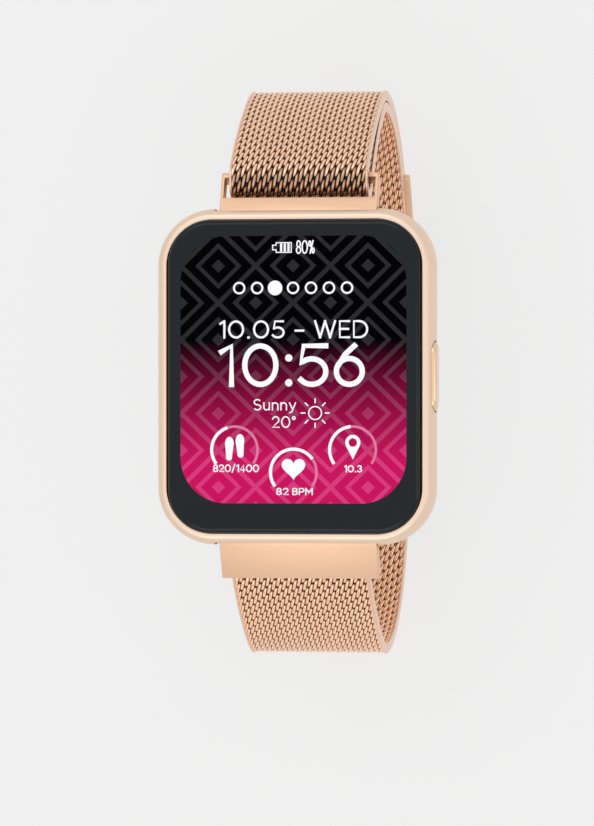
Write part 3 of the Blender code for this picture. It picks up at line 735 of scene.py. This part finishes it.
def back_quarter(side, offset, steps=90, last=90.0):
    """Quarter ellipse from the side of the loop down to where it rests, pushed outward by an offset."""
    foot = rest_high_y if side > 0 else rest_low_y
    reach = abs((loop_high_y if side > 0 else loop_low_y) - foot)
    points = []
    for step in range(steps + 1):
        angle = math.radians(last * step / steps)
        out = Vector((math.cos(angle) / reach, -math.sin(angle) / loop_depth)).normalized()
        y = reach * math.cos(angle) + out.x * offset
        z = loop_z - loop_depth * math.sin(angle) + out.y * offset
        points.append(Vector((foot + side * y, z)))
    return points


def quarter_angle(y):
    """Where along the high quarter, in degrees, the middle of the inner layer stands at this y."""
    return math.degrees(math.acos((y - rest_high_y) / (loop_high_y - rest_high_y)))


tab_start, tab_end = quarter_angle(case_mid.y + 28.2), quarter_angle(case_mid.y + 17.0)
up, down = Vector((0, 1)), Vector((0, -1))
below, above = fold_mid - upper.out * fold_radius, fold_mid + upper.out * fold_radius
fixed_end = lower.at(lower_length - 0.3, link_thick / 2 - 0.1)
RUNS = {
    "lower": bend(fixed_end, lower.along, (loop_low_y, loop_z), down, 2.5, 5),
    "back": back_quarter(-1, 0) + back_quarter(1, 0)[::-1],
    "inner": bend((loop_high_y, loop_z), up, below, -upper.along, 5, 2.5),
    "fold": [fold_mid - upper.out * fold_radius * math.cos(a) - upper.along * fold_radius * math.sin(a)
             for a in (math.pi * step / 30 for step in range(31))],
    "outer": bend(above, upper.along, (loop_high_y + layer_step, loop_z), down, 3, 5),
    "free": back_quarter(1, layer_step, 60, tab_start + 3.5),
}


class Route:
    """A run of (y, z) points that gives the place and the direction at any length along it."""

    def __init__(self, points):
        self.points = [points[0]]
        self.lengths = [0.0]
        for point in points[1:]:
            step = (point - self.points[-1]).length
            if step > 1e-6:
                self.points.append(point)
                self.lengths.append(self.lengths[-1] + step)
        self.total = self.lengths[-1]

    def frame(self, length):
        """The place, the direction along and the direction across the thickness."""
        index, last = 0, len(self.points) - 2
        low, high = 0, last
        while low <= high:
            index = (low + high) // 2
            if self.lengths[index + 1] < length and index < last:
                low = index + 1
            elif self.lengths[index] > length and index > 0:
                high = index - 1
            else:
                break
        along = (self.points[index + 1] - self.points[index]).normalized()
        point = self.points[index] + along * (length - self.lengths[index])
        return point, along, Vector((-along.y, along.x))


chain = []
bounds = []
for points in RUNS.values():
    bounds.append(Route(chain + points).total - Route(points).total if chain else 0.0)
    chain += points
route = Route(chain)
bounds.append(route.total)

coil_pitch, row_pitch, wire = 1.44, 0.78, 0.26
coil_half_length, coil_half_height, coil_flatness = 0.94, band_thick / 2 - wire, 0.7
turns = 12.5
rows = int(route.total / row_pitch)

mesh_edge = grained("mesh_edge", (0.66, 0.42, 0.29), (0.93, 0.66, 0.50), 0.24, 0.34, 1.0,
                    size=5000.0, mottle=1600.0, bump=0.3, bump_mm=0.03)
mesh_wire = grained("mesh_wire", (0.93, 0.60, 0.41), (0.98, 0.66, 0.46), 0.18, 0.28, 1.0,
                    size=5000.0, mottle=500.0, bump=0.1, bump_mm=0.006)

# Painted shade: the wires are painted dark down between them and keep the plating colour on their crowns, by
# how far each point stands off the band's middle line.
dark_under, bright_over = 0.33, 0.86
tree = mesh_wire.node_tree
shader = tree.nodes["Principled BSDF"]
crown = add_node(tree, "ShaderNodeAttribute", {"attribute_name": "raised"})
painted_shade = add_node(tree, "ShaderNodeMapRange", {"interpolation_type": "SMOOTHSTEP"}, i0=crown.outputs["Fac"],
                i1=dark_under, i2=bright_over, i3=0.0, i4=1.0)
plating = shader.inputs["Base Color"].links[0].from_socket
shaded = add_node(tree, "ShaderNodeMix", {"data_type": "RGBA"}, i0=painted_shade.outputs[0],
                  i6=(0.065, 0.022, 0.009, 1), i7=plating)
tree.links.new(shaded.outputs[2], shader.inputs["Base Color"])
# A dark sheet inside each run, where the open weave holds only shade, paints the shade seen through its gaps;
# the back and the free end get a paler sheet.
mesh_shade_sheet = grained("mesh_shade_sheet", (0.05, 0.017, 0.009), (0.08, 0.028, 0.014), 0.5, 0.6, 0.6,
                    size=4000.0, mottle=300.0, bump=0.2, bump_mm=0.01)
mesh_pale_shade_sheet = grained("mesh_pale_shade_sheet", (0.36, 0.19, 0.12), (0.44, 0.25, 0.16), 0.5, 0.6, 0.6,
                         size=4000.0, mottle=300.0, bump=0.2, bump_mm=0.01)
line_step = 0.1
middle_line = KDTree(int(route.total / line_step))
for index in range(int(route.total / line_step)):
    point = route.frame(index * line_step)[0]
    middle_line.insert((0, point.x, point.y), index)
middle_line.balance()


def coil_row(number, steps):
    """Points of one flattened coil across the strap, its turns half a pitch on from its neighbours'."""
    middle = (number + 0.5) * row_pitch
    shift = 0.5 * coil_pitch * (number % 2)
    left = case_mid.x - (turns + 0.5) * coil_pitch / 2
    selvedge = band_width / 2 - wire
    points = []
    for step in range(-steps // 2, int((turns + 0.5) * steps) + 1):
        angle = math.tau * step / steps
        lift = math.sin(angle)
        lift = math.copysign(abs(lift) ** coil_flatness, lift) * coil_half_height
        point, along, out = route.frame(middle - coil_half_length * math.cos(angle))
        spot = point + out * lift
        x = left + shift + coil_pitch * step / steps
        points.append((min(max(x, case_mid.x - selvedge), case_mid.x + selvedge), spot.x, spot.y))
    return points


def woven(name, first, last, steps, depth, least, node):
    """The coils of a stretch of the band between two lengths along it, as one piece."""
    curve = wire_curve(name, wire, 1)
    for number in range(rows):
        if first <= (number + 0.5) * row_pitch < last:
            add_line(curve, coil_row(number, steps))
    bm = drawn(name, curve)
    # Painted shade: how far each point stands off the band's middle line, scaled by depth and no lower than
    # least, darkens the wire colour between the crowns.
    raised = bm.verts.layers.float.new("raised")
    for vert in bm.verts:
        away = middle_line.find((0, vert.co.y, vert.co.z))[2]
        vert[raised] = max(away / (band_thick / 2) * depth, least)
    return piece(name, bm, mesh_wire, None, node, sharp=80, slot="rose_gold_mesh")


def ribbon(name, path, first, last, x_low, x_high, thick, look, body, rounding=0.0, step=0.8):
    """A flat or rounded bar that follows a route between two lengths along it."""
    count = max(2, int((last - first) / step))
    bm = bmesh.new()
    rings = []
    for index in range(count + 1):
        point, along, out = path.frame(first + (last - first) * index / count)
        ring = []
        for x, side in ((x_low, 1), (x_high, 1), (x_high, -1), (x_low, -1)):
            spot = point + out * side * thick / 2
            ring.append(bm.verts.new((case_mid.x + x, spot.x, spot.y)))
        rings.append([bm.edges.new((ring[k], ring[(k + 1) % 4])) for k in range(4)])
    for one, two in zip(rings, rings[1:]):
        bmesh.ops.bridge_loops(bm, edges=one + two)
    bmesh.ops.contextual_create(bm, geom=rings[0])
    bmesh.ops.contextual_create(bm, geom=rings[-1])
    bmesh.ops.recalc_face_normals(bm, faces=bm.faces)
    if rounding:
        soften(bm, sharp_edges(bm, 50), rounding, 3)
    return piece(name, bm, look, body, sharp=40, slot="rose_gold_mesh")


# Each run: its node, the points in a turn of its coils, how bright its crowns are painted (a lower value
# paints the whole run in more shade, as on the fold), and the least painted brightness between them.
PARTS = (("lower", "band_lower_run", 14, 1.05, 0.0), ("back", "band_back_run", 8, 1.0, 0.8),
         ("inner", "band_inner_run", 12, 1.0, 0.0), ("fold", "band_fold", 18, 0.66, 0.0),
         ("outer", "band_outer_run", 16, 0.93, 0.0), ("free", "band_free_end", 12, 1.0, 0.8))
side_x, shade_sheet_inset, shade_sheet_thick = band_width / 2, 0.5, 0.25
selvedge_width, selvedge_thick, selvedge_round = 0.32, 1.44, 0.14
peel_bend = 9.0

# The body that a rigid run rides on, and the two bodies at the ends of each other run, each with its place.
# These other runs are only fixed where they stand and ride on no body.
RIGID = {"back": "case", "fold": "upper_link"}
BENDS = {
    "lower": ("lower_link", "case", RUNS["lower"][0], RUNS["lower"][-1]),
    "inner": ("upper_link", "case", RUNS["inner"][-1], RUNS["inner"][0]),
    "outer": ("upper_link", "case", RUNS["outer"][0], RUNS["outer"][-1]),
    "free": ("case", "strap_tab", *(route.frame(bounds[-2] + ahead)[0] for ahead in (0, peel_bend))),
}
for index, (word, node, steps, depth, least) in enumerate(PARTS):
    first, last = bounds[index], bounds[index + 1]
    parts = [woven(f"mesh_{word}_run", first, last, steps, depth, least, node)]
    parts.append(ribbon(f"mesh_{word}_shade_sheet", route, first, last, -side_x + shade_sheet_inset, side_x - shade_sheet_inset,
                        shade_sheet_thick, mesh_pale_shade_sheet if least else mesh_shade_sheet, None))
    for side, x_low, x_high in (("left", -side_x, -side_x + selvedge_width),
                                ("right", side_x - selvedge_width, side_x)):
        parts.append(ribbon(f"mesh_{word}_edge_{side}", route, first, last, x_low, x_high, selvedge_thick,
                            mesh_edge, None, selvedge_round))
    for part in parts:
        if word in RIGID:
            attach(part, RIGID[word])
        else:
            held, moved, near, far = BENDS[word]
            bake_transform(part)


# ---- Magnetic tab -------------------------------------------------------------------------------
# A thin pressed steel plate, wider than the band, crimped over the band's free end. Four bar magnets
# lie in it and hold it to the outside of the band.

tab_width, tab_thick, tab_edge_round = 20.4, 1.5, 0.3
tab_lift = band_thick / 2 + 1.02
tab_points = []
for step in range(25):
    angle = tab_start + (tab_end - tab_start) * step / 24
    tab_points.append(back_quarter(1, tab_lift, 1, angle)[1])
tab_route = Route(tab_points)
tab_plate = ribbon("tab_plate_body", tab_route, 0, tab_route.total, -tab_width / 2, tab_width / 2, tab_thick,
                   link_satin, "strap_tab", tab_edge_round, step=0.6)
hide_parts("tab_plate")


# ---- Back of the case ---------------------------------------------------------------------------
# A moulded black cover pressed onto its seal, with a smoked lens over the heart sensor and two gold
# plated charging contacts.


def refined(node, look, body, sharp=30, rounding=0.0, name=None):
    """A merged and smoothly shaded copy of a CAD node, its hard edges softened."""
    bm = bmesh.new()
    bm.from_mesh(frame["nodes"][node].data)
    bmesh.ops.scale(bm, verts=bm.verts, vec=(1000, 1000, 1000))
    bmesh.ops.remove_doubles(bm, verts=bm.verts, dist=1e-3)
    bmesh.ops.dissolve_limit(bm, angle_limit=math.radians(1), verts=bm.verts, edges=bm.edges)
    if rounding:
        soften(bm, sharp_edges(bm, 50), rounding, 2)
    return piece(name or node + "_finished", bm, look, body, node, sharp=sharp)


back_black = grained("moulded_black", (0.018, 0.018, 0.019), (0.028, 0.028, 0.03), 0.42, 0.55, 0.0,
                     size=2500.0, mottle=60.0, bump=0.25, bump_mm=0.02)
smoked = grained("smoked_lens", (0.012, 0.008, 0.014), (0.02, 0.012, 0.022), 0.05, 0.09, 0.0,
                 size=500.0, mottle=150.0, bump=0.02, bump_mm=0.002, coat=0.5)
gold = grained("contact_gold", (0.78, 0.53, 0.16), (0.85, 0.60, 0.22), 0.2, 0.3, 1.0, size=4000.0,
               mottle=400.0, bump=0.05, bump_mm=0.003)
refined("back_cover", back_black, "case", 30, 0.12, "moulded_back_cover")
refined("sensor_window", smoked, "case", 50, 0.0, "smoked_sensor_lens")
for side in ("left", "right"):
    refined(f"charging_contact_{side}", gold, "case", 40, 0.1, f"gold_contact_{side}")


# ---- Hidden parts -------------------------------------------------------------------------------
# Boards, cell, shields, motor, bar tubes, plungers and magnets inside the case, the links and the tab.
# They keep their CAD shapes, each with its own finish.

FINISHES = {
    "steel": grained("spring_steel", (0.50, 0.50, 0.51), (0.62, 0.62, 0.63), 0.22, 0.34, 1.0,
                     stretch=(0.1, 1, 1), size=5000.0, mottle=300.0, bump=0.08, bump_mm=0.004),
    "silicone": grained("seal_silicone", (0.03, 0.03, 0.032), (0.05, 0.05, 0.053), 0.6, 0.75, 0.0,
                        size=1800.0, mottle=120.0, bump=0.2, bump_mm=0.01),
    "black_plastic": back_black,
    "adhesive": grained("adhesive_film", (0.02, 0.02, 0.02), (0.045, 0.045, 0.045), 0.6, 0.8, 0.0,
                        size=900.0, mottle=200.0, bump=0.3, bump_mm=0.01),
    "display": grained("panel_back", (0.02, 0.02, 0.024), (0.04, 0.04, 0.05), 0.15, 0.25, 0.0,
                       size=900.0, mottle=60.0, bump=0.05, bump_mm=0.004),
    "flex_film": grained("amber_film", (0.45, 0.19, 0.03), (0.56, 0.27, 0.05), 0.25, 0.4, 0.0,
                         stretch=(1, 0.1, 1), size=1500.0, mottle=200.0, bump=0.1, bump_mm=0.01),
    "circuit_board": grained("solder_mask", (0.008, 0.07, 0.03), (0.02, 0.14, 0.06), 0.3, 0.5, 0.0,
                             size=700.0, mottle=350.0, bump=0.3, bump_mm=0.03),
    "tinned_steel": grained("tinned_sheet", (0.55, 0.55, 0.56), (0.66, 0.66, 0.66), 0.28, 0.42, 1.0,
                            size=2200.0, mottle=200.0, bump=0.1, bump_mm=0.008),
    "battery_foil": grained("cell_foil", (0.42, 0.42, 0.44), (0.55, 0.55, 0.57), 0.3, 0.5, 0.7,
                            size=500.0, mottle=120.0, bump=0.3, bump_mm=0.05),
    "led_lens": grained("led_epoxy", (0.15, 0.6, 0.2), (0.25, 0.75, 0.3), 0.15, 0.3, 0.0,
                        size=1500.0, mottle=500.0, bump=0.05, bump_mm=0.01),
    "magnet": grained("magnet_nickel", (0.33, 0.33, 0.34), (0.42, 0.42, 0.43), 0.25, 0.36, 1.0,
                      size=2500.0, mottle=250.0, bump=0.08, bump_mm=0.006),
    "tungsten": grained("sintered_weight", (0.2, 0.2, 0.21), (0.3, 0.3, 0.31), 0.4, 0.55, 1.0,
                        size=1800.0, mottle=200.0, bump=0.3, bump_mm=0.02),
}
for entry in frame["record"]["subparts"]:
    finish = FINISHES.get(entry["material_slot"])
    carried = frame["nodes"][entry["node"]]
    if finish and not carried.material_slots:
        carried.data.materials.append(finish)
    elif finish:
        for material_slot in carried.material_slots:
            material_slot.material = finish


# ---- Bar springs --------------------------------------------------------------------------------
# The coil spring in each bar, wound from steel wire. It is cut in two halves at the middle of the bar, each
# with its own mesh and riding on its link.

for word in ("upper", "lower"):
    node = f"{word}_bar_spring"
    spring_low, spring_high = box_mm(node)
    middle, half_length = (spring_low + spring_high) / 2, (spring_high.x - spring_low.x) / 2
    for side, end in ((-1, "left"), (1, "right")):
        half_bm = bmesh.new()
        half_bm.from_mesh(frame["nodes"][node].data)
        bmesh.ops.scale(half_bm, verts=half_bm.verts, vec=(1000, 1000, 1000))
        bmesh.ops.remove_doubles(half_bm, verts=half_bm.verts, dist=1e-4)
        halved = bmesh.ops.bisect_plane(half_bm, geom=[*half_bm.verts, *half_bm.edges, *half_bm.faces],
                                        plane_co=middle, plane_no=(-side, 0, 0), clear_outer=True)
        cut_edges = [e for e in halved["geom_cut"] if isinstance(e, bmesh.types.BMEdge)]
        bmesh.ops.edgeloop_fill(half_bm, edges=cut_edges)
        spring = piece(f"{word}_spring_{end}_half", half_bm, FINISHES["steel"], f"{word}_link", node,
                       slot="steel")
        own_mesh(spring)


# ---- Studio -------------------------------------------------------------------------------------
# A pale seamless floor, an even white surround, a broad soft light beyond each end of the strap and a
# long one to the side, and a long lens looking down at the glass from a little to the button side.

floor_drop, paper_glow, paper_glow_seen = 0.1, 0.74, 0.70
sky_low, sky_high, sky_seen = 0.76, 1.0, 0.86
paper = grained("floor_paper", (0.15, 0.15, 0.15), (0.16, 0.16, 0.16), 0.8, 0.9, 0.0, size=300.0,
                mottle=4.0, bump=0.02, bump_mm=0.05, specular=0.0)
tree = paper.node_tree
seen = add_node(tree, "ShaderNodeLightPath").outputs["Is Camera Ray"]
lit = add_node(tree, "ShaderNodeMapRange", i0=seen, i1=0.0, i2=1.0, i3=paper_glow,
               i4=paper_glow_seen)
tree.nodes["Principled BSDF"].inputs["Emission Color"].default_value = (1, 1, 1, 1)
tree.links.new(lit.outputs[0], tree.nodes["Principled BSDF"].inputs["Emission Strength"])
floor_bm = bmesh.new()
bmesh.ops.create_grid(floor_bm, x_segments=2, y_segments=2, size=3000)
bmesh.ops.translate(floor_bm, verts=floor_bm.verts, vec=(0, 0, CAD_BOX[0][2] * 1000 - floor_drop))
floor = piece("studio_floor", floor_bm, paper, None, outward=False)

world = bpy.data.worlds.new("studio")
bpy.context.scene.world = world
world.use_nodes = True
tree = world.node_tree
height = add_node(tree, "ShaderNodeSeparateXYZ", i0=add_node(tree, "ShaderNodeTexCoord").outputs["Generated"])
sky = add_node(tree, "ShaderNodeMapRange", i0=height.outputs[2], i1=0.0, i2=0.75, i3=sky_low, i4=sky_high)
seen = add_node(tree, "ShaderNodeLightPath").outputs["Is Camera Ray"]
strength = add_node(tree, "ShaderNodeMix", i0=seen, i2=sky.outputs[0], i3=sky_seen)
tree.nodes["Background"].inputs[0].default_value = (1, 1, 1, 1)
tree.links.new(strength.outputs[0], tree.nodes["Background"].inputs[1])


def soft_light(name, place, size_x, size_y, power):
    """A rectangular soft light that faces the middle of the watch."""
    lamp = bpy.data.lights.new(name, "AREA")
    lamp.shape = "RECTANGLE"
    lamp.size = size_x
    lamp.size_y = size_y
    lamp.energy = power
    obj = bpy.data.objects.new(name, lamp)
    bpy.context.scene.collection.objects.link(obj)
    way = Vector((0, 0, 0.03)) - Vector(place)
    obj.matrix_world = Matrix.Translation(place) @ way.to_track_quat("-Z", "Y").to_matrix().to_4x4()


soft_light("upper_light", (-0.15, 0.66, 0.8), 0.9, 0.6, 1.5)
soft_light("lower_light", (-0.1, -0.7, 0.75), 0.9, 0.7, 1.8)
soft_light("long_light", (0.8, -0.1, 0.5), 0.25, 0.9, 0.4)

tilt = math.radians(8.5)
focal_lens, distance = 194.0, 0.6
aim_right, aim_down = 0.54, 4.92
aim = Vector((glass_mid.x + aim_right, glass_mid.y - aim_down, glass_high.z)) / 1000
camera = bpy.data.cameras.new("camera")
camera.lens = focal_lens
camera.clip_start = 0.01
viewer = bpy.data.objects.new("camera", camera)
bpy.context.scene.collection.objects.link(viewer)
viewer.location = aim + Vector((math.sin(tilt), 0, math.cos(tilt))) * distance
viewer.rotation_euler = (0, tilt, 0)
bpy.context.scene.camera = viewer
bpy.context.scene.view_settings.view_transform = "Standard"

bpy.context.view_layer.update()
